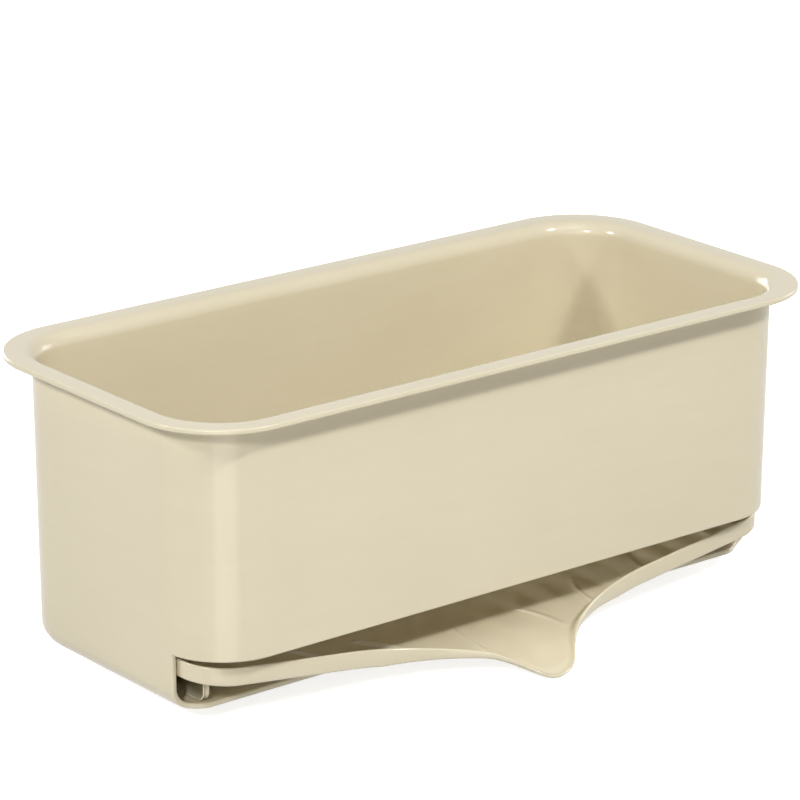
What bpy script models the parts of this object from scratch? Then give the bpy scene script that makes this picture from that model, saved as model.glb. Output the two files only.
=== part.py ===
"""Draining rack for a kitchen sink: a rimmed tub with a slot along its front, a slotted drain plate that
lifts out of it, and a drip tray that slides out through the slot and pours over a spout. It stands on four
soft feet.

Metres, +Z up. +X runs along the rack, and the spout points to -Y. The origin lies on the surface that the
rack stands on, under the middle of its whole outline, spout included.
"""

import math

import bmesh
import bpy
import numpy as np
from mathutils import Matrix

# Tub: outside of the walls, measured just under the rim.
TUB_LENGTH = 0.318
TUB_DEPTH = 0.1408
TUB_HEIGHT = 0.1273
TUB_WALL = 0.0024
TUB_CORNER_RADIUS = 0.0297
BASE_EDGE_RADIUS = 0.0099
WALL_DRAFT = math.radians(0.5)

# Rim: the wall turns outwards at the top and ends in a plain edge.
RIM_REACH = 0.0109
RIM_BEND_RADIUS = 0.0064
RIM_CORNER_RADIUS = 0.038
RIM_EDGE_RADIUS = 0.0007

# Slot: open below the front wall, back to the side walls' cut edges. Between these the base reaches further
# forward, and its front edge sweeps back to meet them.
SLOT_TOP = 0.0249
SLOT_SETBACK = 0.0262
BASE_REACH = 0.0047
BASE_REACH_INSET = 0.0175
BASE_REACH_SWEEP = 0.012

# Ledge: a shelf all round the inside, which carries the drain plate just above the slot.
LEDGE_RISE = 0.001
LEDGE_THICKNESS = 0.002
LEDGE_WIDTH = 0.005
LEDGE_ROOT = 0.0012

# Drain plate: two rows of round-ended slots that run front to back.
PLATE_THICKNESS = 0.0024
PLATE_CLEARANCE = 0.0008
PLATE_EDGE_RADIUS = 0.0006
DRAIN_SLOT_WIDTH = 0.007
DRAIN_SLOT_LENGTH = 0.046
DRAIN_SLOT_PITCH = 0.0165
DRAIN_ROW_GAP = 0.012
DRAIN_END_MARGIN = 0.022

# Drip tray: a shallow trough whose ends stand higher than its level middle.
TRAY_SHEET = 0.0016
TRAY_EDGE = 0.0016
TRAY_FOOT_WIDTH = 0.0038
TRAY_WALL_HEIGHT = 0.0063
TRAY_BOTTOM_RADIUS = 0.001
TRAY_SETBACK = 0.0084
TRAY_END_CLEARANCE = 0.0011
TRAY_BACK_CLEARANCE = 0.004
TRAY_CORNER_RADIUS = 0.017
TRAY_BACK_RADIUS = 0.026
TRAY_LEVEL_LENGTH = 0.128
TRAY_FALL_ANGLE = math.radians(7.5)
TRAY_TILT_ANGLE = math.radians(0.7)

# Spout: two hollow arcs sweep the tray's front wall out to a narrow dished lip.
SPOUT_REACH = 0.0369
SPOUT_FLANK_RADIUS = 0.09
SPOUT_WALL_POWER = 1.3
SPOUT_FALL_POWER = 2
LIP_WIDTH = 0.008
LIP_CORNER_RADIUS = 0.01
LIP_SHEET = 0.0012
LIP_DIP = 0.008
LIP_DIP_WIDTH = 0.052

# Guide ribs: low ridges on the tray's floor that lead towards the spout, mirrored on its two halves. They are
# steep on the side of the spout and slope away on the other.
RIB_PITCH = 0.035
RIB_LENGTH = 0.028
RIB_WIDTH = 0.0052
RIB_HEIGHT = 0.0012
RIB_ROOT = 0.0008
RIB_WALL_GAP = 0.0052
RIB_CREST_SHARES = (0.15, 0.4)
RIB_SIDE_SHARES = (0.5, 0.12)
RIB_END_SHARE = 0.5

# Each rib's place and lean as shares of the pitch, then its own share of the length, the gap and the height.
RIB_SHARES = (
    (0.583, -0.117, 0.95, 1.8, 0.5),
    (1.35, 0.31, 0.95, 1, 1),
    (2.414, 0.17, 0.75, 1, 1),
    (3.57, 0.11, 0.75, 1, 1),
)

# Runners: two skids under the tray's ends, which slide on the tub's base.
RUNNER_INSET = 0.0106
RUNNER_THICKNESS = 0.0032
RUNNER_CORNER_RADIUS = 0.0045
RUNNER_FRONT_INSET = 0.0005
RUNNER_BACK_INSET = 0.018
RUNNER_ROOT = 0.0006

# Feet: soft pads in shallow recesses under the base, set in from its edges.
FOOT_HEIGHT = 0.0075
FOOT_RADIUS = 0.009
FOOT_TIP_RADIUS = 0.0076
FOOT_EDGE_RADIUS = 0.0012
FOOT_SIDE_INSET = 0.034
FOOT_FRONT_INSET = 0.028
FOOT_BACK_INSET = 0.024
RECESS_DEPTH = 0.0007
RECESS_CLEARANCE = 0.0004

# Gap between pieces that rest on each other, how far a cutter runs past what it cuts, and the sharpest turn
# that is shaded as a smooth one.
SEAT_GAP = 0.0003
OVERRUN = 0.005
SMOOTH_ANGLE = math.radians(30)

# Faces along each rounded stretch.
CORNER_STEPS = 8
BEND_STEPS = 4
EDGE_STEPS = 2
FOOT_SIDES = 20
TRAY_CORNER_STEPS = 5
TRAY_STRAIGHT_STEPS = 4
FLANK_STEPS = 9
LIP_STEPS = 4
RIB_STEPS = 5
SWEEP_STEPS = 6

# Rows of the tray's floor, as shares of its depth from front to back, closer together over the spout.
FLOOR_ROW_SHARES = (0, 0.05, 0.11, 0.18, 0.27, 0.45, 0.7, 1)

# Heights and places that follow from these sizes, in the tub's own frame: under the middle of its base.
HALF_LENGTH = TUB_LENGTH / 2
HALF_DEPTH = TUB_DEPTH / 2
INNER_CORNER_RADIUS = TUB_CORNER_RADIUS - TUB_WALL
SLOT_FACE_Y = SLOT_SETBACK - HALF_DEPTH
BASE_FRONT_Y = SLOT_FACE_Y - BASE_REACH
LEDGE_BOTTOM = SLOT_TOP + LEDGE_RISE
LEDGE_TOP = LEDGE_BOTTOM + LEDGE_THICKNESS
TRAY_BOTTOM = TUB_WALL + SEAT_GAP
TRAY_FRONT_Y = TRAY_SETBACK - HALF_DEPTH
LIP_Y = TRAY_FRONT_Y - SPOUT_REACH
OUTLINE_MIDDLE_Y = (HALF_DEPTH + RIM_REACH + LIP_Y) / 2


def clear_scene():
    for obj in list(bpy.data.objects):
        bpy.data.objects.remove(obj, do_unlink=True)


def plastic(name, colour, roughness):
    made = bpy.data.materials.new(name)
    made.use_nodes = True
    made.diffuse_color = (*colour, 1)
    shader = made.node_tree.nodes["Principled BSDF"]
    shader.inputs["Base Color"].default_value = (*colour, 1)
    shader.inputs["Roughness"].default_value = roughness
    shader.inputs["Metallic"].default_value = 0
    return made


def empty(name, location, parent=None):
    made = bpy.data.objects.new(name, None)
    made.location = location
    made.parent = parent
    bpy.context.collection.objects.link(made)
    return made


def closed_mesh(name, points, faces):
    """A mesh of these faces cut into triangles, with every normal pointing out."""
    mesh = bpy.data.meshes.new(name)
    mesh.from_pydata(points.tolist(), [], faces)
    shape = bmesh.new()
    shape.from_mesh(mesh)
    bmesh.ops.triangulate(shape, faces=shape.faces)
    bmesh.ops.recalc_face_normals(shape, faces=shape.faces)
    shape.to_mesh(mesh)
    shape.free()
    return mesh


def piece(name, mesh, material, parent, origin=(0, 0, 0)):
    """An object carried by an empty that stands at origin, with its shape drawn in the tub's frame."""
    mesh.transform(Matrix.Translation(origin).inverted())
    mesh.materials.append(material)
    mesh.shade_smooth()
    mesh.set_sharp_from_angle(angle=SMOOTH_ANGLE)
    obj = bpy.data.objects.new(name, mesh)
    obj.parent = parent
    bpy.context.collection.objects.link(obj)
    return obj


def combine(obj, operation, name, body, parent, origin=(0, 0, 0)):
    """Cuts a body out of the object or joins it on, with the body kept as a hidden guide."""
    mesh = closed_mesh(name, *body)
    mesh.transform(Matrix.Translation(origin).inverted())
    guide = bpy.data.objects.new(name, mesh)
    guide.parent = parent
    guide.hide_render = True
    guide.display_type = "WIRE"
    bpy.context.collection.objects.link(guide)
    change = obj.modifiers.new(name, "BOOLEAN")
    change.operation = operation
    change.object = guide
    change.solver = "EXACT"


def ring_faces(rings, around, cyclic):
    """Quads between neighbouring rings of equal length, which follow each other in one list of points."""
    faces = []
    for ring in range(rings if cyclic else rings - 1):
        low = ring * around
        high = (ring + 1) % rings * around
        for step in range(around):
            after = (step + 1) % around
            faces.append((low + step, low + after, high + after, high + step))
    return faces


def loft(rings, cyclic=False):
    """Points and faces of a closed body through these rings, capped at both ends or joined last to first."""
    around = len(rings[0])
    faces = ring_faces(len(rings), around, cyclic)
    if not cyclic:
        faces.append(tuple(range(around)))
        faces.append(tuple(range((len(rings) - 1) * around, len(rings) * around)))
    return np.concatenate(rings), faces


def joined(bodies):
    """The points and faces of several bodies as one list of each."""
    points, faces = [], []
    start = 0
    for body_points, body_faces in bodies:
        points.append(body_points)
        faces += [tuple(start + corner for corner in face) for face in body_faces]
        start += len(body_points)
    return np.concatenate(points), faces


def arc(start, end, steps):
    return np.linspace(start, end, steps + 1)


def rounded_rectangle(half_x, half_y, radius, height, steps=CORNER_STEPS):
    """A level ring of points, anticlockwise from the right end."""
    corners = []
    for side_x, side_y, start in ((1, 1, 0), (-1, 1, 90), (-1, -1, 180), (1, -1, 270)):
        angles = np.radians(arc(start, start + 90, steps))
        corner_x = side_x * (half_x - radius) + radius * np.cos(angles)
        corner_y = side_y * (half_y - radius) + radius * np.sin(angles)
        corners.append(np.column_stack((corner_x, corner_y, np.full(steps + 1, height))))
    return np.concatenate(corners)


def circle(x, y, radius, height):
    angles = arc(0, 2 * math.pi, FOOT_SIDES)[:-1]
    ring = np.column_stack((np.cos(angles), np.sin(angles), np.zeros(FOOT_SIDES)))
    return radius * ring + (x, y, height)


def wall_inset(height):
    """How far the drafted wall has moved in from its size at the top."""
    return math.tan(WALL_DRAFT) * (TUB_HEIGHT - height)


def tub_ring(outset, height, radius=None):
    """The tub's outline at a height, moved out from the wall's outer face by a distance."""
    reach = outset - wall_inset(height)
    corner_radius = radius or TUB_CORNER_RADIUS + outset
    return rounded_rectangle(HALF_LENGTH + reach, HALF_DEPTH + reach, corner_radius, height)


def rim_radius(outset):
    """The rim's corners tighten evenly from the end of the bend to their own radius at the edge."""
    bend_end = RIM_BEND_RADIUS - TUB_WALL
    share = (outset - bend_end) / (RIM_REACH - bend_end)
    return (1 - share) * (TUB_CORNER_RADIUS + outset) + share * RIM_CORNER_RADIUS


def tub_shell():
    """One wall thickness all over: up the outside, over the rim, and down the inside to the base."""
    quarter = math.pi / 2
    under_bend = RIM_BEND_RADIUS - TUB_WALL
    bend_middle = TUB_HEIGHT - RIM_BEND_RADIUS
    inner_edge = BASE_EDGE_RADIUS - TUB_WALL
    edge_outset = RIM_REACH - RIM_EDGE_RADIUS
    rings = []
    for turn in arc(0, quarter, BEND_STEPS):
        inset = BASE_EDGE_RADIUS * (1 - math.sin(turn))
        rings.append(tub_ring(-inset, BASE_EDGE_RADIUS * (1 - math.cos(turn))))
    for turn in arc(0, quarter, BEND_STEPS):
        outset = under_bend * (1 - math.cos(turn))
        rings.append(tub_ring(outset, bend_middle + under_bend * math.sin(turn)))
    lower_middle = TUB_HEIGHT - TUB_WALL + RIM_EDGE_RADIUS
    upper_middle = TUB_HEIGHT - RIM_EDGE_RADIUS
    for start, middle in ((-quarter, lower_middle), (0, upper_middle)):
        for turn in arc(start, start + quarter, EDGE_STEPS):
            outset = edge_outset + RIM_EDGE_RADIUS * math.cos(turn)
            rings.append(tub_ring(outset, middle + RIM_EDGE_RADIUS * math.sin(turn), rim_radius(outset)))
    for turn in arc(quarter, 0, BEND_STEPS):
        outset = under_bend - RIM_BEND_RADIUS * math.cos(turn)
        rings.append(tub_ring(outset, bend_middle + RIM_BEND_RADIUS * math.sin(turn)))
    for turn in arc(quarter, 0, BEND_STEPS):
        inset = TUB_WALL + inner_edge * (1 - math.sin(turn))
        rings.append(tub_ring(-inset, TUB_WALL + inner_edge * (1 - math.cos(turn))))
    return loft(rings)


def ledge():
    """A shelf rooted in the wall, level above and below."""
    corners = (
        (LEDGE_ROOT, LEDGE_BOTTOM),
        (LEDGE_ROOT, LEDGE_TOP),
        (-LEDGE_WIDTH, LEDGE_TOP),
        (-LEDGE_WIDTH, LEDGE_BOTTOM),
    )
    return loft([tub_ring(reach - TUB_WALL, height) for reach, height in corners], cyclic=True)


def foot_places():
    """Name and middle of each foot, in from the tub's ends, the base's front edge and the back wall."""
    right = HALF_LENGTH - FOOT_SIDE_INSET
    for side, x in (("left", -right), ("right", right)):
        yield f"foot_front_{side}", x, BASE_FRONT_Y + FOOT_FRONT_INSET
        yield f"foot_back_{side}", x, HALF_DEPTH - FOOT_BACK_INSET


def slot_cut():
    """What the slot takes out of the tub. It leaves the base's front edge swept back at both ends."""
    side = HALF_LENGTH + OVERRUN
    front = -HALF_DEPTH - OVERRUN
    turns = arc(0, math.pi, SWEEP_STEPS)
    sweep_x = HALF_LENGTH - BASE_REACH_INSET + BASE_REACH_SWEEP * turns / math.pi
    sweep_y = SLOT_FACE_Y - BASE_REACH * (1 + np.cos(turns)) / 2
    right = np.column_stack((np.append(sweep_x, (side, side)), np.append(sweep_y, (SLOT_FACE_Y, front))))
    outline = np.concatenate((right, right[::-1] * (-1, 1)))
    level = np.column_stack((outline, np.zeros(len(outline))))
    return loft([level + (0, 0, height) for height in (-OVERRUN, SLOT_TOP)])


def make_tub(material, rack):
    tub = piece("tub", closed_mesh("tub", *tub_shell()), material, rack)
    combine(tub, "UNION", "ledge_shape", ledge(), rack)
    combine(tub, "DIFFERENCE", "slot_cut", slot_cut(), rack)
    radius = FOOT_RADIUS + RECESS_CLEARANCE
    heights = (-OVERRUN, RECESS_DEPTH)
    recesses = [loft([circle(x, y, radius, height) for height in heights]) for _, x, y in foot_places()]
    combine(tub, "DIFFERENCE", "recess_cuts", joined(recesses), rack)


def make_feet(material, rack):
    """Turned pads of one shape, with their tops just clear of the recesses they are stuck in."""
    top = RECESS_DEPTH - SEAT_GAP
    rings = [circle(0, 0, FOOT_RADIUS, top), circle(0, 0, FOOT_RADIUS, 0)]
    for turn in arc(0, math.pi / 2, EDGE_STEPS):
        radius = FOOT_TIP_RADIUS - FOOT_EDGE_RADIUS * (1 - math.cos(turn))
        rings.append(circle(0, 0, radius, FOOT_EDGE_RADIUS * (1 - math.sin(turn)) - FOOT_HEIGHT))
    mesh = closed_mesh("foot", *loft(rings))
    for name, x, y in foot_places():
        foot = piece(name, mesh, material, rack)
        foot.location = (x, y, 0)


def make_drain_plate(material, rack):
    bottom = LEDGE_TOP + SEAT_GAP
    top = bottom + PLATE_THICKNESS
    spots = ((0, bottom), (0, top - PLATE_EDGE_RADIUS), (PLATE_EDGE_RADIUS, top))
    clearance = TUB_WALL + PLATE_CLEARANCE + wall_inset(bottom)
    half_x = HALF_LENGTH - clearance
    half_y = HALF_DEPTH - clearance
    radius = INNER_CORNER_RADIUS - PLATE_CLEARANCE
    slab = []
    for inset, height in spots:
        slab.append(rounded_rectangle(half_x - inset, half_y - inset, radius - inset, height))

    each_side = int((half_x - DRAIN_END_MARGIN) / DRAIN_SLOT_PITCH)
    row_y = (DRAIN_ROW_GAP + DRAIN_SLOT_LENGTH) / 2
    end_radius = DRAIN_SLOT_WIDTH / 2
    slots = []
    for column in range(-each_side, each_side + 1):
        for y in (-row_y, row_y):
            outline = rounded_rectangle(end_radius, DRAIN_SLOT_LENGTH / 2, end_radius, 0, BEND_STEPS)
            low = outline + (column * DRAIN_SLOT_PITCH, y, bottom - OVERRUN)
            slots.append(loft([low, low + (0, 0, PLATE_THICKNESS + 2 * OVERRUN)]))

    origin = (0, 0, LEDGE_TOP)
    lift = empty("plate_lift", origin, rack)
    plate = piece("drain_plate", closed_mesh("drain_plate", *loft(slab)), material, lift, origin)
    combine(plate, "DIFFERENCE", "drain_slot_cuts", joined(slots), lift, origin)


class TrayForm:
    """The drip tray's plan and heights. Each plan row holds x and y, then the way in from the edge."""

    def __init__(self):
        inset = TUB_WALL + wall_inset(SLOT_TOP)
        self.half_x = HALF_LENGTH - inset - TRAY_END_CLEARANCE
        self.back_y = HALF_DEPTH - inset - TRAY_BACK_CLEARANCE
        self.level_x = TRAY_LEVEL_LENGTH / 2
        # The flank's hollow arc leaves the front wall here, and turns this far before the lip's round one.
        radii = SPOUT_FLANK_RADIUS + LIP_CORNER_RADIUS
        self.flank_x = LIP_WIDTH / 2 + math.sqrt(SPOUT_REACH * (2 * radii - SPOUT_REACH))
        self.flank_turn = math.asin((self.flank_x - LIP_WIDTH / 2) / radii)

    def corner(self, radius, wall_y, way):
        """The left end's corner, from the end wall to the front or the back wall."""
        turns = arc(0, math.pi / 2, TRAY_CORNER_STEPS)
        in_x, in_y = np.cos(turns), way * np.sin(turns)
        middle_x = radius - self.half_x
        middle_y = wall_y + way * radius
        return np.column_stack((middle_x - radius * in_x, middle_y - radius * in_y, in_x, in_y))

    def front_half(self):
        """From the left end's front corner to the middle of the lip."""
        corner = self.corner(TRAY_CORNER_RADIUS, TRAY_FRONT_Y, 1)
        straight_x = arc(corner[-1, 0], -self.flank_x, TRAY_STRAIGHT_STEPS)[1:]
        straight = [(x, TRAY_FRONT_Y, 0, 1) for x in straight_x]
        spout = []
        for turn in arc(0, self.flank_turn, FLANK_STEPS)[1:]:
            x = SPOUT_FLANK_RADIUS * math.sin(turn) - self.flank_x
            y = TRAY_FRONT_Y - SPOUT_FLANK_RADIUS * (1 - math.cos(turn))
            spout.append((x, y, 0, 1 / math.cos(turn)))
        for turn in arc(self.flank_turn, 0, LIP_STEPS)[1:]:
            x = -LIP_WIDTH / 2 - LIP_CORNER_RADIUS * math.sin(turn)
            y = LIP_Y + LIP_CORNER_RADIUS * (1 - math.cos(turn))
            spout.append((x, y, 0, 1 / math.cos(turn)))
        return np.concatenate((corner, straight, spout, [(0, LIP_Y, 0, 1)]))

    def back_half(self):
        """From the left end's back corner to the middle, with as many rows as the front."""
        corner = self.corner(TRAY_BACK_RADIUS, self.back_y, -1)
        straight = [(x, self.back_y, 0, -1) for x in self.front_half()[len(corner) :, 0]]
        return np.concatenate((corner, straight))

    def plan(self, inset):
        """A grid of plan points, row by row from front to back, with its border this far in from the edge."""
        sides = []
        for half in (self.front_half(), self.back_half()):
            whole = np.concatenate((half, half[-2::-1] * (-1, 1, -1, 1)))
            sides.append(whole[:, :2] + inset * whole[:, 2:])
        front, back = sides
        shares = np.array(FLOOR_ROW_SHARES)[:, None, None]
        return front + shares * (back - front)

    def front_y(self, x):
        half = self.front_half()
        return np.interp(-np.abs(x), half[:, 0], half[:, 1])

    def edge_height(self, x, in_front):
        """Top of the wall. It falls evenly to the level middle, and in front on down to the dipped lip."""
        x = np.abs(x)
        fall = math.tan(TRAY_FALL_ANGLE)
        level = TRAY_BOTTOM + TRAY_SHEET + TRAY_WALL_HEIGHT
        dip = LIP_DIP * np.cos(math.pi * np.minimum(x / LIP_DIP_WIDTH, 1 / 2)) ** 2
        return np.where(
            in_front,
            level + fall * (x - self.level_x) - dip,
            level + fall * (np.maximum(x, self.level_x) - self.level_x),
        )

    def plain_floor(self, x, y):
        """The trough without its spout: level in the middle, rising to the ends and a little to the back."""
        rise = math.tan(TRAY_FALL_ANGLE) * (np.maximum(np.abs(x), self.level_x) - self.level_x)
        return TRAY_BOTTOM + TRAY_SHEET + rise + math.tan(TRAY_TILT_ANGLE) * (y - TRAY_FRONT_Y)

    def floor(self, x, y):
        """In the spout, each front-to-back line of the floor curves down to the edge at its own front end."""
        share = np.minimum(np.abs(x) / self.level_x, 1)
        wall = TRAY_WALL_HEIGHT * share**SPOUT_WALL_POWER
        drop = np.maximum(self.plain_floor(x, TRAY_FRONT_Y) - self.edge_height(x, True) + wall, 0)
        reach = np.maximum(TRAY_FRONT_Y - self.front_y(x), SEAT_GAP)
        share = np.clip((TRAY_FRONT_Y - y) / reach, 0, 1)
        return self.plain_floor(x, np.maximum(y, TRAY_FRONT_Y)) - drop * share**SPOUT_FALL_POWER

    def underside(self, x, y):
        """The sheet under the floor thins evenly along the spout towards the lip."""
        share = np.clip((TRAY_FRONT_Y - y) / SPOUT_REACH, 0, 1)
        return self.floor(x, y) - TRAY_SHEET + (TRAY_SHEET - LIP_SHEET) * share


def border(grid):
    """The rows round the outside of a grid, once round."""
    return np.concatenate((grid[0], grid[1:-1, -1], grid[-1, ::-1], grid[-2:0:-1, 0]))


def tray_shell(form):
    """Underside, outer wall, edge, inner wall and floor, as one closed body."""
    below = form.plan(TRAY_BOTTOM_RADIUS)
    above = form.plan(TRAY_FOOT_WIDTH)
    outer = border(form.plan(0))
    inner = border(form.plan(TRAY_EDGE))
    in_front = np.arange(len(outer)) < below.shape[1]
    edge = form.edge_height(outer[:, 0], in_front)
    bottom = form.underside(outer[:, 0], outer[:, 1]) + TRAY_BOTTOM_RADIUS
    inner_edge = np.maximum(edge, form.floor(inner[:, 0], inner[:, 1]))
    points = [
        np.column_stack((below.reshape(-1, 2), form.underside(below[..., 0], below[..., 1]).ravel())),
        np.column_stack((above.reshape(-1, 2), form.floor(above[..., 0], above[..., 1]).ravel())),
        np.column_stack((outer, bottom)),
        np.column_stack((outer, edge)),
        np.column_stack((inner, inner_edge)),
    ]
    places = np.arange(below[..., 0].size).reshape(below.shape[:2])
    count = places.size
    faces = []
    for start in (0, count):
        low, high = places[:-1] + start, places[1:] + start
        quads = np.stack((low[:, :-1], low[:, 1:], high[:, 1:], high[:, :-1]), axis=-1)
        faces += quads.reshape(-1, 4).tolist()
    round_edge = border(places)
    around = np.arange(len(outer)) + 2 * count
    rings = (round_edge, around, around + len(outer), around + 2 * len(outer), round_edge + count)
    for low, high in zip(rings, rings[1:]):
        quads = np.column_stack((low, np.roll(low, -1), np.roll(high, -1), high))
        faces += quads.tolist()
    return np.concatenate(points), faces


def guide_ribs(form):
    """Ridges that start out of the tray's deeper half and bend round to run straight to the front wall."""
    crest_in, crest_out = RIB_CREST_SHARES
    side_in, side_out = RIB_SIDE_SHARES
    section_x = np.array((0, 1, 1, crest_out, crest_in, 0)) * RIB_WIDTH
    section_share = np.array((0, 0, side_out, 1, 1, side_in))
    ribs = []
    for shares in RIB_SHARES:
        sizes = np.array(shares) * (RIB_PITCH, RIB_PITCH, RIB_LENGTH, RIB_WALL_GAP, RIB_HEIGHT)
        front_x, lean, length, gap, top = sizes
        front = form.front_y(front_x) + gap
        rings = []
        for along in arc(0, 1, RIB_STEPS):
            x = front_x + lean * along**2 + section_x
            y = np.full(len(x), front + length * along)
            swell = RIB_END_SHARE + (1 - RIB_END_SHARE) * math.sin(math.pi * along)
            height = top * swell * section_share - RIB_ROOT * (section_share == 0)
            rings.append(np.column_stack((x, y, form.floor(x, y) + height)))
        ribs += [loft(rings), loft([ring * (-1, 1, 1) for ring in rings])]
    return joined(ribs)


def runners(form):
    """Upright skids, rounded at both lower corners, rooted in the tray's underside."""
    front = BASE_FRONT_Y + RUNNER_FRONT_INSET
    back = form.back_y - RUNNER_BACK_INSET
    middle = form.half_x - RUNNER_INSET
    top_front, top_back = (form.underside(middle, y) + RUNNER_ROOT for y in (front, back))
    outline = [(back, top_back), (front, top_front)]
    turns = arc(0, math.pi / 2, BEND_STEPS)
    across = RUNNER_CORNER_RADIUS * (1 - np.cos(turns))
    heights = TRAY_BOTTOM + RUNNER_CORNER_RADIUS * (1 - np.sin(turns))
    outline += list(zip(front + across, heights))
    outline += list(zip(back - across[::-1], heights[::-1]))
    both = []
    for side in (-1, 1):
        faces_x = (side * middle - RUNNER_THICKNESS / 2, side * middle + RUNNER_THICKNESS / 2)
        both.append(loft([np.array([(x, y, height) for y, height in outline]) for x in faces_x]))
    return joined(both)


def make_drip_tray(material, rack):
    form = TrayForm()
    origin = (0, SLOT_FACE_Y, TRAY_BOTTOM)
    slide = empty("tray_slide", origin, rack)
    tray = piece("drip_tray", closed_mesh("drip_tray", *tray_shell(form)), material, slide, origin)
    combine(tray, "UNION", "runner_shapes", runners(form), slide, origin)
    combine(tray, "UNION", "rib_shapes", guide_ribs(form), slide, origin)


clear_scene()
rack_frame = empty("rack", (0, -OUTLINE_MIDDLE_Y, FOOT_HEIGHT))
tub_plastic = plastic("tub_plastic", (0.73, 0.66, 0.50), 0.28)
plate_plastic = plastic("plate_plastic", (0.73, 0.66, 0.50), 0.35)
tray_plastic = plastic("tray_plastic", (0.73, 0.66, 0.50), 0.25)
foot_rubber = plastic("foot_rubber", (0.42, 0.40, 0.35), 0.6)
make_tub(tub_plastic, rack_frame)
make_drain_plate(plate_plastic, rack_frame)
make_drip_tray(tray_plastic, rack_frame)
make_feet(foot_rubber, rack_frame)
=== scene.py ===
"""Looks for the draining rack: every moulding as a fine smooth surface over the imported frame, with its
plastic or rubber, then the plain studio it stands in. Metres, in the frame of the CAD model."""

import math

import bmesh
import bpy
import numpy as np
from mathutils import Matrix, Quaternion, Vector


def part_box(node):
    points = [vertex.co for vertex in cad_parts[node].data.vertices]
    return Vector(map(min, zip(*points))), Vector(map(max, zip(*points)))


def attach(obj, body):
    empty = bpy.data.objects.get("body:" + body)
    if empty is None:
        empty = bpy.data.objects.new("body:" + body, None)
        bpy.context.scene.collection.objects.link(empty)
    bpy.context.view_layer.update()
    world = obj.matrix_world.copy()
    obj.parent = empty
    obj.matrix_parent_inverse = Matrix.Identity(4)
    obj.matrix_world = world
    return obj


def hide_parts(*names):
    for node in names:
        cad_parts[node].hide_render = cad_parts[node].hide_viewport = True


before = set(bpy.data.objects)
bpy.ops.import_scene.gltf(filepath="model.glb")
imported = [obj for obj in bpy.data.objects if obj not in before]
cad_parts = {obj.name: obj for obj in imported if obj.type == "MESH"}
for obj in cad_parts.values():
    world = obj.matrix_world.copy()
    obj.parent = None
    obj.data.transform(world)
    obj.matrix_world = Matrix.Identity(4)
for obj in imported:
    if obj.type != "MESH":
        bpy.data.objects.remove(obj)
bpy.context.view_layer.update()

# Tub: one long moulding in glossy cream plastic, a single wall thickness all over, with a rim turned
# outwards and a slot under the front wall. Its sheet is drawn from outside and thickened inwards, and its
# cut edges are rounded.
tub_low, tub_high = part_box("tub")
base_z = tub_low.z
middle_y = (tub_low.y + tub_high.y) / 2
rim_reach = 0.0109
half_length = tub_high.x - rim_reach
half_depth = (tub_high.y - tub_low.y) / 2 - rim_reach
tub_height = tub_high.z - base_z
tub_wall = 0.0024
tub_corner = 0.0297
base_round = 0.0099
rim_bend = 0.0064
rim_corner = 0.038
rim_outsets = (0.0055, 0.0075, rim_reach - 0.0016, rim_reach)
wall_draft = math.radians(0.5)
edge_round = 0.0008
slot_top = 0.0249
slot_face = 0.0442
base_reach = 0.0047
sweep_start = half_length - 0.0175
sweep_length = 0.012
waist = 0.07
row_gap = 0.002
corner_steps = 18
slot_cut_steps = 2
straight_shares = np.array((0.012, 0.25, 0.5, 0.75, 0.988))[:, None]


def arc(start, end, steps):
    return np.linspace(start, end, steps + 1)


def draft(height):
    """How far the wall has leant in from its size at the top."""
    return math.tan(wall_draft) * (tub_height - height)


def base_front(x):
    """Distance of the base's front edge from the middle: furthest along most of it, then half a cosine wave
    back."""
    turn = np.clip((np.abs(x) - sweep_start) / sweep_length, 0, 1) * math.pi
    return slot_face + base_reach * (1 + np.cos(turn)) / 2


def cut_turn(half_x, half_y, radius, swept):
    """Turn of the front corner at which the slot cuts it: where the corner's arc meets the slot's end. The
    swept front edge depends on the turn itself, so that one is settled in rounds."""
    turn = math.asin((slot_face - half_y + radius) / radius)
    rounds = 20 if swept else 0
    for _ in range(rounds):
        reach = base_front(half_x - radius + radius * math.cos(turn))
        turn = math.asin((reach - half_y + radius) / radius)
    return turn


def tub_outline(outset, height, radius=None, swept=False):
    """Once round a rounded rectangle, anticlockwise from the slot's right end. Arcs are centre plus radius
    times cosine and sine of the turn, and straights are divided close to their ends to keep them flat."""
    reach = outset - draft(height)
    half_x, half_y = half_length + reach, half_depth + reach
    radius = radius or tub_corner + outset
    middle_x, side_y = half_x - radius, half_y - radius
    cut = cut_turn(half_x, half_y, radius, swept)
    quarter = math.pi / 2
    front_steps = corner_steps - slot_cut_steps

    def bend(x, y, start, end, steps):
        turns = arc(start, end, steps)
        return np.column_stack((x + radius * np.cos(turns), y + radius * np.sin(turns)))

    def straight(start, end):
        return np.array(start) * (1 - straight_shares) + np.array(end) * straight_shares

    around = (
        bend(middle_x, -side_y, -cut, 0, slot_cut_steps),
        straight((half_x, -side_y), (half_x, side_y)),
        bend(middle_x, side_y, 0, quarter, corner_steps),
        straight((middle_x, half_y), (-middle_x, half_y)),
        bend(-middle_x, side_y, quarter, 2 * quarter, corner_steps),
        straight((-half_x, side_y), (-half_x, -side_y)),
        bend(-middle_x, -side_y, 2 * quarter, 2 * quarter + cut, slot_cut_steps),
        bend(-middle_x, -side_y, 2 * quarter + cut, 3 * quarter, front_steps)[1:],
        straight((-middle_x, -half_y), (middle_x, -half_y)),
        bend(middle_x, -side_y, 3 * quarter, 4 * quarter - cut, front_steps)[:-1],
    )
    plan = np.concatenate(around)
    return np.column_stack((plan[:, 0], plan[:, 1] + middle_y, np.full(len(plan), height + base_z)))


# Points of an outline behind the slot: all but the front wall's own stretch.
behind_slot = 2 * (slot_cut_steps + 1) + 2 * (corner_steps + 1) + 3 * len(straight_shares)


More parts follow.
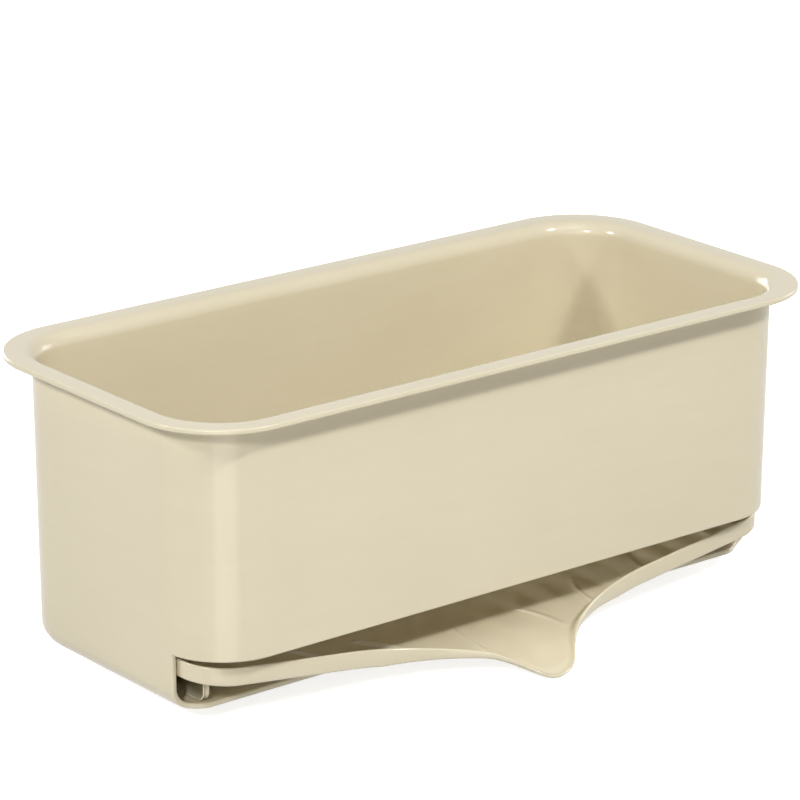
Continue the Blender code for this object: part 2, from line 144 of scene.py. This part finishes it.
def rim_radius(outset):
    """The rim's corners tighten evenly from the end of the bend to their own radius at the edge."""
    bend_end = rim_bend - tub_wall
    share = (outset - bend_end) / (rim_reach - bend_end)
    return (1 - share) * (tub_corner + outset) + share * rim_corner


def tub_sheet():
    """The outside of the tub as rows from the base up to the rim's edge. Rows below the slot's top stop at
    the slot, and one flat face closes the base, with the swept front edge."""
    low_rows = []
    for turn in arc(0, math.pi / 2, 12):
        inset = base_round * (1 - math.sin(turn))
        low_rows.append(tub_outline(-inset, base_round * (1 - math.cos(turn)), swept=True)[:behind_slot])
    low_rows.append(tub_outline(0, base_round + row_gap)[:behind_slot])
    low_rows.append(tub_outline(0, slot_top - row_gap)[:behind_slot])
    bend = rim_bend - tub_wall
    bend_start = tub_height - rim_bend
    wall_heights = (slot_top, slot_top + row_gap, waist, bend_start - row_gap)
    high_rows = [tub_outline(0, height) for height in wall_heights]
    for turn in arc(0, math.pi / 2, 10):
        high_rows.append(tub_outline(bend * (1 - math.cos(turn)), bend_start + bend * math.sin(turn)))
    under_rim = tub_height - tub_wall
    for outset in rim_outsets:
        high_rows.append(tub_outline(outset, under_rim, rim_radius(outset)))

    sweep = arc(sweep_start, low_rows[0][0, 0], 8)
    edge_x = np.concatenate((-sweep[-2:0:-1], sweep[:-1]))
    edge = np.column_stack((edge_x, middle_y - base_front(edge_x), np.full(len(edge_x), base_z)))
    points = np.concatenate((*low_rows, *high_rows, edge))

    around = len(high_rows[0])
    low = np.arange(len(low_rows) * behind_slot).reshape(-1, behind_slot)
    high = low.size + np.arange(len(high_rows) * around).reshape(-1, around)
    low = np.vstack((low, high[0, :behind_slot]))
    walls = np.stack((low[:-1, :-1], low[:-1, 1:], low[1:, 1:], low[1:, :-1]), axis=-1).reshape(-1, 4)
    after = np.roll(high, -1, axis=1)
    rest = np.stack((high[:-1], after[:-1], after[1:], high[1:]), axis=-1).reshape(-1, 4)
    base = np.concatenate((low[0], low.size - behind_slot + high.size + np.arange(len(edge))))
    return points, [*walls.tolist(), *rest.tolist(), base[::-1].tolist()]


def make_piece(name, points, faces, closed=True):
    """A smooth-shaded object at the origin. A closed shape has its faces turned outwards."""
    mesh = bpy.data.meshes.new(name)
    mesh.from_pydata(points.tolist(), [], faces)
    if closed:
        shape = bmesh.new()
        shape.from_mesh(mesh)
        bmesh.ops.recalc_face_normals(shape, faces=shape.faces)
        shape.to_mesh(mesh)
        shape.free()
    mesh.shade_smooth()
    made = bpy.data.objects.new(name, mesh)
    bpy.context.scene.collection.objects.link(made)
    return made


def thicken(made, thickness):
    """The drawn sheet is the outer face, and the wall grows inwards from it."""
    wall = made.modifiers.new("wall", "SOLIDIFY")
    wall.thickness = thickness
    wall.offset = -1
    wall.use_even_offset = True
    wall.use_quality_normals = True


def round_edges(made, radius):
    """Rounds the edges at which faces turn by more than 50 degrees."""
    edge = made.modifiers.new("rounded edges", "BEVEL")
    edge.width = radius
    edge.segments = 3
    edge.limit_method = "ANGLE"
    edge.angle_limit = math.radians(50)
    edge.harden_normals = True


class Wire:
    """One socket of a material. Sums on it add Math nodes, and node() adds any other node."""

    def __init__(self, tree, socket):
        self.tree = tree
        self.socket = socket

    def node(self, kind, settings, inputs, output=0):
        made = self.tree.nodes.new(kind)
        for name, value in settings.items():
            setattr(made, name, value)
        for name, value in inputs.items():
            if isinstance(value, Wire):
                self.tree.links.new(value.socket, made.inputs[name])
            else:
                made.inputs[name].default_value = value
        return Wire(self.tree, made.outputs[output])

    def maths(self, operation, first, second):
        return self.node("ShaderNodeMath", {"operation": operation}, {0: first, 1: second})

    def __add__(self, other):
        return self.maths("ADD", self, other)

    def __mul__(self, other):
        return self.maths("MULTIPLY", self, other)

    __radd__ = __add__

    def noise(self, scale, detail, roughness=0.5):
        """Cloudy noise from 0 to 1 over these coordinates."""
        inputs = {"Vector": self, "Scale": scale, "Detail": detail, "Roughness": roughness}
        return self.node("ShaderNodeTexNoise", {}, inputs)

    def stretched(self, x, y, z):
        return self.node("ShaderNodeMapping", {}, {"Vector": self, "Scale": (x, y, z)})

    def above(self, low, high):
        """0 below low, 1 above high, and a straight ramp between them."""
        return self.node("ShaderNodeMapRange", {}, {"Value": self, "From Min": low, "From Max": high})

    def blend(self, first, second):
        """From the first colour to the second, by this share."""
        made = self.tree.nodes.new("ShaderNodeMix")
        made.data_type = "RGBA"
        self.tree.links.new(self.socket, made.inputs["Factor"])
        made.inputs[6].default_value = (*first, 1)
        made.inputs[7].default_value = (*second, 1)
        return Wire(self.tree, made.outputs[2])


def new_material(name):
    """A material, its shader and its object coordinates."""
    made = bpy.data.materials.new(name)
    made.use_nodes = True
    tree = made.node_tree
    place = tree.nodes.new("ShaderNodeTexCoord")
    return made, tree.nodes["Principled BSDF"], Wire(tree, place.outputs["Object"])


def set_socket(shader, name, wire):
    wire.tree.links.new(wire.socket, shader.inputs[name])


def glossy_plastic(name, roughness, peel):
    """Cream gloss plastic straight from a polished mould: cloudy colour, faint flow marks, and an orange
    peel in the gloss."""
    pale, deep = (0.745, 0.67, 0.495), (0.715, 0.64, 0.46)
    made, shader, place = new_material(name)
    clouds = place.noise(14, 3)
    flow = place.stretched(5, 5, 30).noise(6, 4)
    set_socket(shader, "Base Color", (clouds * 0.6 + flow * 0.4).above(0.3, 0.7).blend(pale, deep))
    smears = place.stretched(60, 60, 12).noise(5, 5, 0.6)
    set_socket(shader, "Roughness", roughness - 0.03 + smears * 0.05 + place.noise(900, 2) * 0.02)
    ripple = place.noise(260, 2) * 0.7 + place.noise(1300, 1) * 0.3
    bump = place.node("ShaderNodeBump", {}, {"Strength": 1, "Distance": peel, "Height": ripple})
    set_socket(shader, "Normal", bump)
    shader.inputs["IOR"].default_value = 1.5
    return made


tub = make_piece("tub_moulding", *tub_sheet(), closed=False)
thicken(tub, tub_wall)
round_edges(tub, edge_round)
tub.data.materials.append(glossy_plastic("cream_gloss", roughness=0.17, peel=0.000012))
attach(tub, "tub")
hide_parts("tub")

# Ledge: a shelf moulded round the inside of the tub, just above the slot, on which the drain plate rests. Its
# section is a small rounded bar rooted in the wall and carried once round the inside.
ledge_bottom = slot_top + 0.001
ledge_thickness = 0.002
ledge_top = ledge_bottom + ledge_thickness
ledge_reach = 0.005
ledge_edge_round = 0.0007


def closed_loop(rings):
    """Faces between rings that follow each other and join last to first, around and along."""
    count = len(rings[0])
    places = np.arange(len(rings) * count).reshape(-1, count)
    after = np.roll(places, -1, axis=1)
    quads = np.stack((places, after, np.roll(after, -1, axis=0), np.roll(places, -1, axis=0)), axis=-1)
    return np.concatenate(rings), quads.reshape(-1, 4).tolist()


def ledge_rings():
    """Flat above and below, from the middle of the wall out, with its free edge turned through two quarter
    circles."""
    radius = ledge_edge_round
    turn_middle = tub_wall + ledge_reach - radius
    level_insets = (tub_wall / 2, 0.0028, turn_middle - 0.001)
    section = [(inset, ledge_bottom) for inset in level_insets]
    for start, height in ((-90, ledge_bottom + radius), (0, ledge_top - radius)):
        for turn in np.radians(arc(start, start + 90, 4)):
            section.append((turn_middle + radius * math.cos(turn), height + radius * math.sin(turn)))
    section += [(inset, ledge_top) for inset in reversed(level_insets)]
    return [tub_outline(-inset, height) for inset, height in section]


ledge = make_piece("tub_ledge", *closed_loop(ledge_rings()))
ledge.data.materials.append(bpy.data.materials["cream_gloss"])
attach(ledge, "tub")
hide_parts("tub")

# Drain plate: a flat moulded plate in the same cream plastic, pierced by two rows of round-ended slots. It
# lies loose on the ledge. Each slot is a cell of the plate, and a border joins the cells to the rounded
# outline.
plate_low, plate_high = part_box("drain_plate")
plate_corner = 0.0265
plate_edge_round = 0.0006
cell_width = 0.0165
cell_length = 0.058
cells_across = 17
cell_numbers = np.arange(cells_across) - cells_across // 2
slot_half_width = 0.0035
slot_straight = 0.023 - slot_half_width


def loop_faces(count):
    """Faces from a loop of this many points out to the loop whose points follow it."""
    inner = np.arange(count)
    after = np.roll(inner, -1)
    return np.column_stack((inner, inner + count, after + count, after))


def slot_cells():
    """Each cell joins its slot's outline to its rectangle. A turn past the slot's end meets the cell's side
    up to 45 degrees and the cell's end from there, so that neighbouring cells share their points."""
    turns = np.radians(arc(0, 90, 10))
    share = turns / np.radians(45)
    hole = np.column_stack((slot_half_width * np.cos(turns), slot_straight + slot_half_width * np.sin(turns)))
    half_width, half_end = cell_width / 2, cell_length / 2
    rim_x = half_width * np.minimum(2 - share, 1)
    rim_y = slot_straight + (half_end - slot_straight) * np.minimum(share, 1)
    rim = np.column_stack((rim_x, rim_y))

    def once_round(quarter):
        back = quarter[-2::-1]
        return np.concatenate((quarter, back * (-1, 1), -quarter, back * (1, -1)))

    hole, rim = once_round(hole), once_round(rim)
    count = len(hole)
    middles = np.array([(x, y) for y in (-0.5, 0.5) for x in cell_numbers])
    middles = middles * (cell_width, cell_length)
    points = (middles[:, None, None] + np.stack((hole, rim))[None]).reshape(-1, 2)
    faces = (np.arange(len(middles))[:, None, None] * 2 * count + loop_faces(count)).reshape(-1, 4)
    return points, faces


def plate_border(half_x, half_y, radius):
    """From the outside of the block of cells, through the points that these have there, to the plate's
    rounded outline. The points are stretched to the outline's size, and those past a corner's middle pulled
    to its arc."""
    block_x, block_y = cells_across * cell_width / 2, cell_length
    steps = arc(0, 45, 5) / 45
    up = slot_straight + (cell_length / 2 - slot_straight) * steps
    ends = np.concatenate((up, -up[::-1]))
    side_y = np.concatenate((ends - cell_length / 2, ends + cell_length / 2))
    side_y = np.unique(np.round(side_y, 7))
    across = cell_width / 2 * steps
    across = np.concatenate((-across[::-1], across[1:]))
    end_x = np.unique(np.round(cell_numbers[:, None] * cell_width + across, 7))
    right = np.column_stack((np.full(len(side_y), block_x), side_y))
    back = np.column_stack((end_x[::-1], np.full(len(end_x), block_y)))
    block = np.concatenate((right[:-1], back[:-1], -right[:-1], -back[:-1]))
    scaled = block * (half_x / block_x, half_y / block_y)
    corner_middle = np.array((half_x - radius, half_y - radius))
    over = np.maximum(np.abs(scaled) - corner_middle, 0)
    pull = radius / np.maximum(np.linalg.norm(over, axis=1), 1e-9)
    corner = np.sign(scaled) * (corner_middle + over * pull[:, None])
    outline = np.where((over > 0).all(axis=1)[:, None], corner, scaled)
    return np.concatenate((block, outline)), loop_faces(len(block))


def plate_sheet():
    cells, cell_faces = slot_cells()
    border, border_faces = plate_border(plate_high.x, (plate_high.y - plate_low.y) / 2, plate_corner)
    plan = np.concatenate((cells, border))
    faces = np.concatenate((cell_faces, border_faces + len(cells)))
    points = np.column_stack((plan[:, 0], plan[:, 1] + middle_y, np.full(len(plan), plate_high.z)))
    return points, faces.tolist()


plate = make_piece("drain_plate_moulding", *plate_sheet(), closed=False)
weld = plate.modifiers.new("joined cells", "WELD")
weld.merge_threshold = 0.00002
thicken(plate, plate_high.z - plate_low.z)
round_edges(plate, plate_edge_round)
plate.data.materials.append(glossy_plastic("plate_cream", roughness=0.3, peel=0.00002))
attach(plate, "plate")
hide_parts("drain_plate")

# Drip tray: a shallow trough in the same cream plastic, level in the middle and rising to its ends. Two
# hollow arcs sweep its front wall out to a narrow dished lip. Low ribs on its floor lead the water there.
seat_gap = 0.0003
tray_bottom = tub_wall + seat_gap
tray_sheet = 0.0016
tray_wall_height = 0.0063
tray_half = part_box("drip_tray")[1].x
front_setback = 0.0084
tray_front = half_depth - front_setback
back_gap = 0.004
tray_back = half_depth - tub_wall - draft(slot_top) - back_gap
front_corner = 0.017
back_corner = 0.026
level_half = 0.064
fall = math.tan(math.radians(7.5))
back_tilt = math.tan(math.radians(0.7))
low_edge_round = 0.001
top_edge_round = 0.0008
floor_inset = 0.0041
spout_reach = 0.0369
flank_radius = 0.09
lip_radius = 0.01
lip_half = 0.004
lip_thickness = 0.0012
lip_dip = 0.008
dip_half = 0.052
spout_wall_power = 1.3
flank_end = lip_half + math.sqrt(spout_reach * (2 * (flank_radius + lip_radius) - spout_reach))
flank_lean = (flank_end - lip_half) / (flank_radius + lip_radius)
rib_x = np.array((0.0204, 0.0473, 0.0845, 0.125))
rib_lean = np.array((-0.0041, 0.0109, 0.006, 0.0038))
rib_length = np.array((0.0266, 0.0266, 0.021, 0.021))
rib_gap = np.array((0.0094, 0.0052, 0.0052, 0.0052))
rib_top = np.array((0.0007, 0.0012, 0.0012, 0.0012))
rib_width = 0.0052
rib_rise = 0.0011
rib_crest = 0.0013
rib_ramp = 0.0012


def front_line(x):
    """Front edge and its slope: the lip's straight, its round arc, the flank's hollow arc, then the straight
    wall."""
    x = np.abs(x)
    round_x = np.clip(x - lip_half, 0, lip_radius * flank_lean)
    round_y = np.sqrt(lip_radius**2 - round_x**2)
    hollow_x = np.clip(flank_end - x, 0, flank_radius * flank_lean)
    hollow_y = np.sqrt(flank_radius**2 - hollow_x**2)
    in_lip = x < lip_half + lip_radius * flank_lean
    reach = np.where(in_lip, spout_reach - lip_radius + round_y, flank_radius - hollow_y)
    return -tray_front - reach, np.where(in_lip, round_x / round_y, hollow_x / hollow_y)


def tray_columns():
    """Places along half the tray: dense across each rib, and evenly spread between them."""
    before, steep_end, past = -0.0005, 0.0016, 0.0058
    across = np.concatenate((arc(before, steep_end, 9), arc(steep_end, past, 7)[1:]))
    ribs = (rib_x[:, None] + across).ravel()
    fine_half = 0.084
    corner_start = tray_half - front_corner
    even = np.concatenate((arc(0, fine_half, 52), arc(fine_half, corner_start, 20)[1:]))
    least_gap = 0.0006
    even = even[np.abs(even[:, None] - ribs).min(axis=1) > least_gap]
    even = even[even < corner_start - 0.0001]
    return np.sort(np.concatenate((even, ribs)))


def tray_sides():
    """Front and back line from the left end to the right, each with x, y and the way in from the edge. The
    back corners are the wider ones, so the columns draw together towards them."""
    columns = tray_columns()[::-1]
    draw_start = 0.127
    drawn = np.interp(columns, (draw_start, tray_half - front_corner), (draw_start, tray_half - back_corner))
    turns = arc(0, math.pi / 2, 10)
    half = []
    for radius, line, way in ((front_corner, -tray_front, 1), (back_corner, tray_back, -1)):
        in_x, in_y = np.cos(turns), way * np.sin(turns)
        corner_x = radius - tray_half - radius * in_x
        corner_y = line + way * radius - radius * in_y
        corner = np.column_stack((corner_x, corner_y, in_x, in_y))
        if way > 0:
            x = -columns
            y, slope = front_line(x)
        else:
            x = -np.minimum(columns, drawn)
            y, slope = np.full(len(x), line), np.zeros(len(x))
        rest = np.column_stack((x, y, np.zeros(len(x)), way * np.sqrt(1 + slope**2)))
        whole = np.concatenate((corner, rest))
        half.append(np.concatenate((whole, whole[-2::-1] * (-1, 1, -1, 1))))
    return half


def smooth_step(share):
    share = np.clip(share, 0, 1)
    return share**2 * (3 - 2 * share)


def along_ribs(y):
    """How far along each rib a point lies: 0 at the rib's front end and 1 at its back end."""
    start = front_line(rib_x)[0] + rib_gap
    return (y[..., None] - start) / rib_length


def rib_share(x, y):
    """For each point, the rib nearest to it: how far along it, how far out from its steep side, and its
    number."""
    along = along_ribs(y)
    across = np.abs(x)[..., None] - rib_x - rib_lean * np.clip(along, 0, 1) ** 2
    nearest = np.abs(across).argmin(axis=-1)
    pick = [np.take_along_axis(part, nearest[..., None], axis=-1)[..., 0] for part in (along, across)]
    return pick[0], pick[1], nearest


def rib_height(x, y):
    """Across, a steep S up from the spout's side and a long S down again. Along, a low arch with ramped
    ends."""
    along, across, rib = rib_share(x, y)
    up = smooth_step(across / rib_rise)
    down = smooth_step((rib_width - across) / (rib_width - rib_crest))
    arch = 0.5 + 0.5 * np.sin(math.pi * np.clip(along, 0, 1))
    from_end = np.minimum(along, 1 - along) * rib_length[rib]
    return rib_top[rib] * up * down * arch * smooth_step(from_end / rib_ramp + 0.5)


def end_rise(x):
    """Level in the middle, and a straight rise to the ends."""
    return fall * np.maximum(np.abs(x) - level_half, 0)


def plain_floor(x, y):
    """The trough without its spout, rising a little to the back."""
    return tray_bottom + tray_sheet + end_rise(x) + back_tilt * (y + tray_front)


def edge_height(x, in_front):
    """Top of the wall. It falls evenly to the level middle, and in front on down to the dipped lip."""
    level = tray_bottom + tray_sheet + tray_wall_height
    dip = lip_dip * np.cos(math.pi * np.minimum(np.abs(x) / dip_half, 0.5)) ** 2
    return np.where(in_front, level + fall * (np.abs(x) - level_half) - dip, level + end_rise(x))


def tray_floor(x, y):
    """In the spout, each front-to-back line of the floor curves down to the edge at its own front end."""
    share = np.minimum(np.abs(x) / level_half, 1)
    wall = tray_wall_height * share**spout_wall_power
    drop = np.maximum(plain_floor(x, -tray_front) - edge_height(x, True) + wall, 0)
    least_reach = 0.0003
    reach = np.maximum(-tray_front - front_line(x)[0], least_reach)
    share = np.clip((-tray_front - y) / reach, 0, 1)
    return plain_floor(x, np.maximum(y, -tray_front)) - drop * share**2


def tray_under(x, y):
    """The sheet under the floor thins evenly along the spout towards the lip."""
    share = np.clip((-tray_front - y) / spout_reach, 0, 1)
    return tray_floor(x, y) - tray_sheet + (tray_sheet - lip_thickness) * share


def tray_plan(front_inset, back_inset):
    """Rows from the front line to the back one, moved in from the edge, and closest in front, over the
    ribs."""
    front, back = tray_sides()
    front_inset = np.broadcast_to(front_inset, len(front))[:, None]
    first = front[:, :2] + front_inset * front[:, 2:]
    last = back[:, :2] + back_inset * back[:, 2:]
    close_share = 0.4
    shares = np.concatenate((arc(0, close_share, 46), arc(close_share, 1, 12)[1:]))[:, None, None]
    return first + shares * (last - first)


def lean_with_ribs(plan):
    """Moves the floor's points sideways along the nearest ribs' bends, and fades out beside and behind
    them."""
    x, y = plan[..., 0], plan[..., 1]
    along = along_ribs(y)
    fade_end, margin, fade_width = 2.6, 0.001, 0.016
    bend = rib_lean * np.clip(along, 0, 1) ** 2 * np.clip(fade_end - along, 0, 1)
    from_middle = np.abs(np.abs(x)[..., None] - rib_x - rib_width / 2)
    outside = np.maximum(from_middle - rib_width / 2 - margin, 0)
    weight = np.clip(1 - outside / fade_width, 0, 1)
    moved = plan.copy()
    moved[1:-1, :, 0] += (np.sign(x) * (bend * weight).sum(axis=-1))[1:-1]
    return moved


def border(grid):
    """The rows round the outside of a grid, once round."""
    return np.concatenate((grid[0], grid[1:-1, -1], grid[-1, ::-1], grid[-2:0:-1, 0]))


def tray_shell():
    """Underside, lower round, outer wall, rounded edge, a soft S down the inside, and the floor, as one
    body."""
    outline = border(tray_plan(0, 0))
    columns = len(tray_sides()[0])
    in_front = np.arange(len(outline)) < columns
    edge = edge_height(outline[:, 0], in_front)
    under = tray_under(outline[:, 0], outline[:, 1])
    widest_round = 0.45 * (edge - under)
    low_round = np.minimum(low_edge_round, widest_round)
    top_round = np.minimum(top_edge_round, widest_round)

    def ring(inset):
        return border(tray_plan(inset[:columns], inset[-1]))

    below = tray_plan(low_round[:columns], low_round[-1])
    above = lean_with_ribs(tray_plan(floor_inset, floor_inset))
    rings = []
    for turn in arc(0, math.pi / 2, 5)[1:]:
        plan = ring(low_round * (1 - math.sin(turn)))
        rings.append((plan, under + low_round * (1 - math.cos(turn))))
    for turn in arc(0, math.pi / 2, 5):
        plan = ring(top_round * (1 - math.cos(turn)))
        rings.append((plan, edge - top_round * (1 - math.sin(turn))))
    for share in arc(0, 1, 10)[1:-1]:
        plan = ring(top_round * (1 - share) + floor_inset * share)
        down = smooth_step(share)
        rings.append((plan, edge * (1 - down) + tray_floor(plan[:, 0], plan[:, 1]) * down))

    floor = tray_floor(above[..., 0], above[..., 1]) + rib_height(above[..., 0], above[..., 1])
    points = [
        np.column_stack((below.reshape(-1, 2), tray_under(below[..., 0], below[..., 1]).ravel())),
        np.column_stack((above.reshape(-1, 2), floor.ravel())),
        *(np.column_stack((plan, height)) for plan, height in rings),
    ]
    places = np.arange(below[..., 0].size).reshape(below.shape[:2])
    faces = []
    for start in (0, places.size):
        low, high = places[:-1] + start, places[1:] + start
        faces.append(np.stack((low[:, :-1], low[:, 1:], high[:, 1:], high[:, :-1]), axis=-1).reshape(-1, 4))
    around = np.arange(len(outline)) + 2 * places.size
    between = [around + number * len(outline) for number in range(len(rings))]
    loops = [border(places), *between, border(places) + places.size]
    for low, high in zip(loops, loops[1:]):
        faces.append(np.column_stack((low, np.roll(low, -1), np.roll(high, -1), high)))
    return np.concatenate(points) + (0, middle_y, base_z), np.concatenate(faces).tolist()


tray = make_piece("drip_tray_moulding", *tray_shell())
tray.data.materials.append(glossy_plastic("tray_cream", roughness=0.17, peel=0.00001))
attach(tray, "tray")
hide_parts("drip_tray")

# Runners: two upright skids moulded under the tray's ends, rounded at their lower corners, which slide on the
# tub's base. Each is its outline from the side, carried across its thickness.
runner_middle = tray_half - 0.0106
runner_half = 0.0016
runner_front = -slot_face - base_reach + 0.0005
runner_back = tray_back - 0.018
runner_corner = 0.0045
runner_edge_round = 0.0005
runner_root = 0.0006


def capped_rings(rings):
    """Faces between rings that follow each other, and two flat faces that close the first and the last."""
    count = len(rings[0])
    places = np.arange(len(rings) * count).reshape(-1, count)
    after = np.roll(places, -1, axis=1)
    quads = np.stack((places[:-1], after[:-1], after[1:], places[1:]), axis=-1).reshape(-1, 4)
    return np.concatenate(rings), [*quads.tolist(), places[0].tolist(), places[-1].tolist()]


def runner_outline():
    """Seen from the right end: straight front and back, rounded lower corners, and a top that is rooted in
    the tray's sheet."""
    turns = arc(0, math.pi / 2, 8)
    across = runner_corner * (1 - np.cos(turns))
    height = tray_bottom + runner_corner * (1 - np.sin(turns))
    ends = (runner_back, runner_front)
    top = [(y, float(tray_under(np.array(runner_middle), np.array(y)) + runner_root)) for y in ends]
    lower_front = np.column_stack((runner_front + across, height))
    lower_back = np.column_stack((runner_back - across, height))[::-1]
    return np.concatenate((top, lower_front, lower_back))


def runner(side):
    """Rings of the outline at both faces, moved in along a quarter circle. A known fault: the full outlines
    come first and last, so the flat faces that close the rings lie inside by the rounding's radius, and cut
    the faces that run across."""
    line = runner_outline()
    away = line - line.mean(axis=0)
    least_away = 0.002
    radius = runner_edge_round
    rings = []
    for face in (-1, 1):
        for turn in arc(0, math.pi / 2, 4)[:: -face]:
            inset = radius * (1 - math.cos(turn))
            moved = line - inset * away / np.maximum(np.abs(away), least_away)
            x = side * runner_middle + face * (runner_half - radius + radius * math.sin(turn))
            rings.append(np.column_stack((np.full(len(moved), x), moved)) + (0, middle_y, base_z))
    return capped_rings(rings)


for name, side in (("runner_left", -1), ("runner_right", 1)):
    skid = make_piece(name, *runner(side))
    skid.data.materials.append(bpy.data.materials["tray_cream"])
    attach(skid, "tray")
    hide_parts("drip_tray")

# Feet: four soft rubber pads stuck under the base, matt grey beige. Each is one profile turned once round,
# with a flat top, a tapered side, a rounded tip and a slightly dished sole.
top_radius = 0.009
tip_radius = 0.0076
tip_round = 0.0012
foot_profile = [(top_radius - 0.0004, base_z + 0.0001), (top_radius, base_z - 0.0004)]
for turn in arc(0, math.pi / 2, 6):
    foot_profile.append((tip_radius - tip_round * (1 - math.cos(turn)), tip_round * (1 - math.sin(turn))))
foot_profile += [(0.0058, 0), (0.0052, 0.0003), (0.003, 0.0004)]


def foot_rubber():
    """Matt rubber: a mottled grey beige, rougher where it is darker, with a fine grain."""
    made, shader, place = new_material("foot_rubber")
    mottle = place.noise(350, 4)
    set_socket(shader, "Base Color", mottle.above(0.35, 0.65).blend((0.43, 0.41, 0.36), (0.37, 0.35, 0.305)))
    set_socket(shader, "Roughness", 0.55 + mottle * 0.2)
    grain = place.noise(2600, 2)
    bump = place.node("ShaderNodeBump", {}, {"Strength": 1, "Distance": 0.00004, "Height": grain})
    set_socket(shader, "Normal", bump)
    return made


def foot_rings(middle):
    """The profile's points, each turned once round this middle."""
    turns = arc(0, 2 * math.pi, 48)[:-1]
    circle = np.column_stack((np.cos(turns), np.sin(turns)))
    rings = []
    for radius, height in foot_profile:
        rings.append(np.column_stack((circle * radius + middle, np.full(len(turns), height))))
    return rings


rubber = foot_rubber()
for node in ("foot_front_left", "foot_front_right", "foot_back_left", "foot_back_right"):
    foot_low, foot_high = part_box(node)
    middle = ((foot_low.x + foot_high.x) / 2, (foot_low.y + foot_high.y) / 2)
    pad = make_piece(node + "_pad", *capped_rings(foot_rings(middle)))
    pad.data.materials.append(rubber)
    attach(pad, "tub")
    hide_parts(node)

# Studio: a plain pale floor, three small lamps that draw the rim's shadow, and soft panels beside the
# camera, on the right, behind and overhead. The floor shows white to the camera, further out without any
# lamp, and it sends less light back than it shows.
floor_reach = 12
lamp_distance = 1.9
floor_corners = [(x * floor_reach, y * floor_reach, 0) for x, y in ((-1, -1), (1, -1), (1, 1), (-1, 1))]
floor_mesh = bpy.data.meshes.new("floor")
floor_mesh.from_pydata(floor_corners, [], [(0, 1, 2, 3)])
floor = bpy.data.objects.new("floor", floor_mesh)
floor.visible_glossy = False
bpy.context.scene.collection.objects.link(floor)
pale, pale_shader, pale_place = new_material("pale_floor")
sight = pale_place.node("ShaderNodeLightPath", {}, {})
pale_shader.inputs["Base Color"].default_value = (0.8, 0.8, 0.8, 1)
pale_shader.inputs["Roughness"].default_value = 0.9
distance = pale_place.node("ShaderNodeVectorMath", {"operation": "LENGTH"}, {0: pale_place}, "Value")
set_socket(pale_shader, "Emission Color", distance.above(0.6, 1.4).blend((0.75, 0.75, 0.75), (1, 1, 1)))
pale_shader.inputs["Emission Strength"].default_value = 1
dim = pale_place.node("ShaderNodeBsdfDiffuse", {}, {"Color": (0.6, 0.6, 0.6, 1)})
bright = Wire(pale.node_tree, pale_shader.outputs[0])
shown = pale_place.node("ShaderNodeMixShader", {}, {0: sight, 1: dim, 2: bright})
pale.node_tree.links.new(shown.socket, pale.node_tree.nodes["Material Output"].inputs["Surface"])
floor.data.materials.append(pale)


def lamp(name, azimuth, elevation, width, tall, brightness):
    """A panel that faces the object. Azimuth 0 is in front of it, and minus 90 on its left. The power gives a
    panel of this size this brightness, where 1 is white."""
    made = bpy.data.lights.new(name, "AREA")
    made.shape = "RECTANGLE"
    made.size, made.size_y = width, tall
    made.energy = brightness * math.pi * width * tall
    turn, rise = math.radians(azimuth), math.radians(elevation)
    away = Vector((math.sin(turn) * math.cos(rise), -math.cos(turn) * math.cos(rise), math.sin(rise)))
    lamp_object = bpy.data.objects.new(name, made)
    lamp_object.location = away * lamp_distance + Vector((0, 0, tub_height / 2))
    lamp_object.visible_camera = False
    lamp_object.rotation_mode = "QUATERNION"
    lamp_object.rotation_quaternion = (-away).to_track_quat("-Z", "Y")
    bpy.context.scene.collection.objects.link(lamp_object)


lamp("front right", 25, 44, 0.2, 0.2, 123)
lamp("front left", -57, 30, 0.2, 0.2, 93)
lamp("left", -110, 32, 0.25, 0.25, 58)
lamp("camera side", -35, 0, 1.15, 1.8, 1.6)
lamp("right", 80, 10, 0.8, 0.9, 4)
lamp("behind", 180, 8, 1.1, 1.2, 5)
lamp("overhead", -20, 60, 1.2, 1, 1.9)

# The surroundings are white to the camera and in mirror images, and give no other light.
world = bpy.data.worlds.new("studio")
world.use_nodes = True
bpy.context.scene.world = world
back_light = world.node_tree.nodes["Background"]
back_light.inputs["Color"].default_value = (1, 1, 1, 1)
sight = world.node_tree.nodes.new("ShaderNodeLightPath")
seen = Wire(world.node_tree, sight.outputs["Is Camera Ray"])
seen = seen.maths("MAXIMUM", seen, Wire(world.node_tree, sight.outputs["Is Glossy Ray"]))
seen = seen.maths("MAXIMUM", seen, Wire(world.node_tree, sight.outputs["Is Transmission Ray"]))
set_socket(back_light, "Strength", seen)

# Camera: a long lens at the photograph's angle, in front of the left corner and above the rim.
azimuth, elevation, roll = math.radians(-38.79), math.radians(18.35), math.radians(0.12)
across = math.cos(elevation)
towards = Vector((math.sin(azimuth) * across, -math.cos(azimuth) * across, math.sin(elevation)))
camera = bpy.data.objects.new("camera", bpy.data.cameras.new("camera"))
camera.data.sensor_width = 36
camera.data.lens = 186.87
camera.data.clip_start, camera.data.clip_end = 0.1, 50
camera.location = (-1.05298, -1.29418, 0.65179)
camera.rotation_mode = "QUATERNION"
camera.rotation_quaternion = (-towards).to_track_quat("-Z", "Y") @ Quaternion((0, 0, 1), roll)
bpy.context.scene.collection.objects.link(camera)
bpy.context.scene.camera = camera
bpy.context.scene.view_settings.view_transform = "Standard"
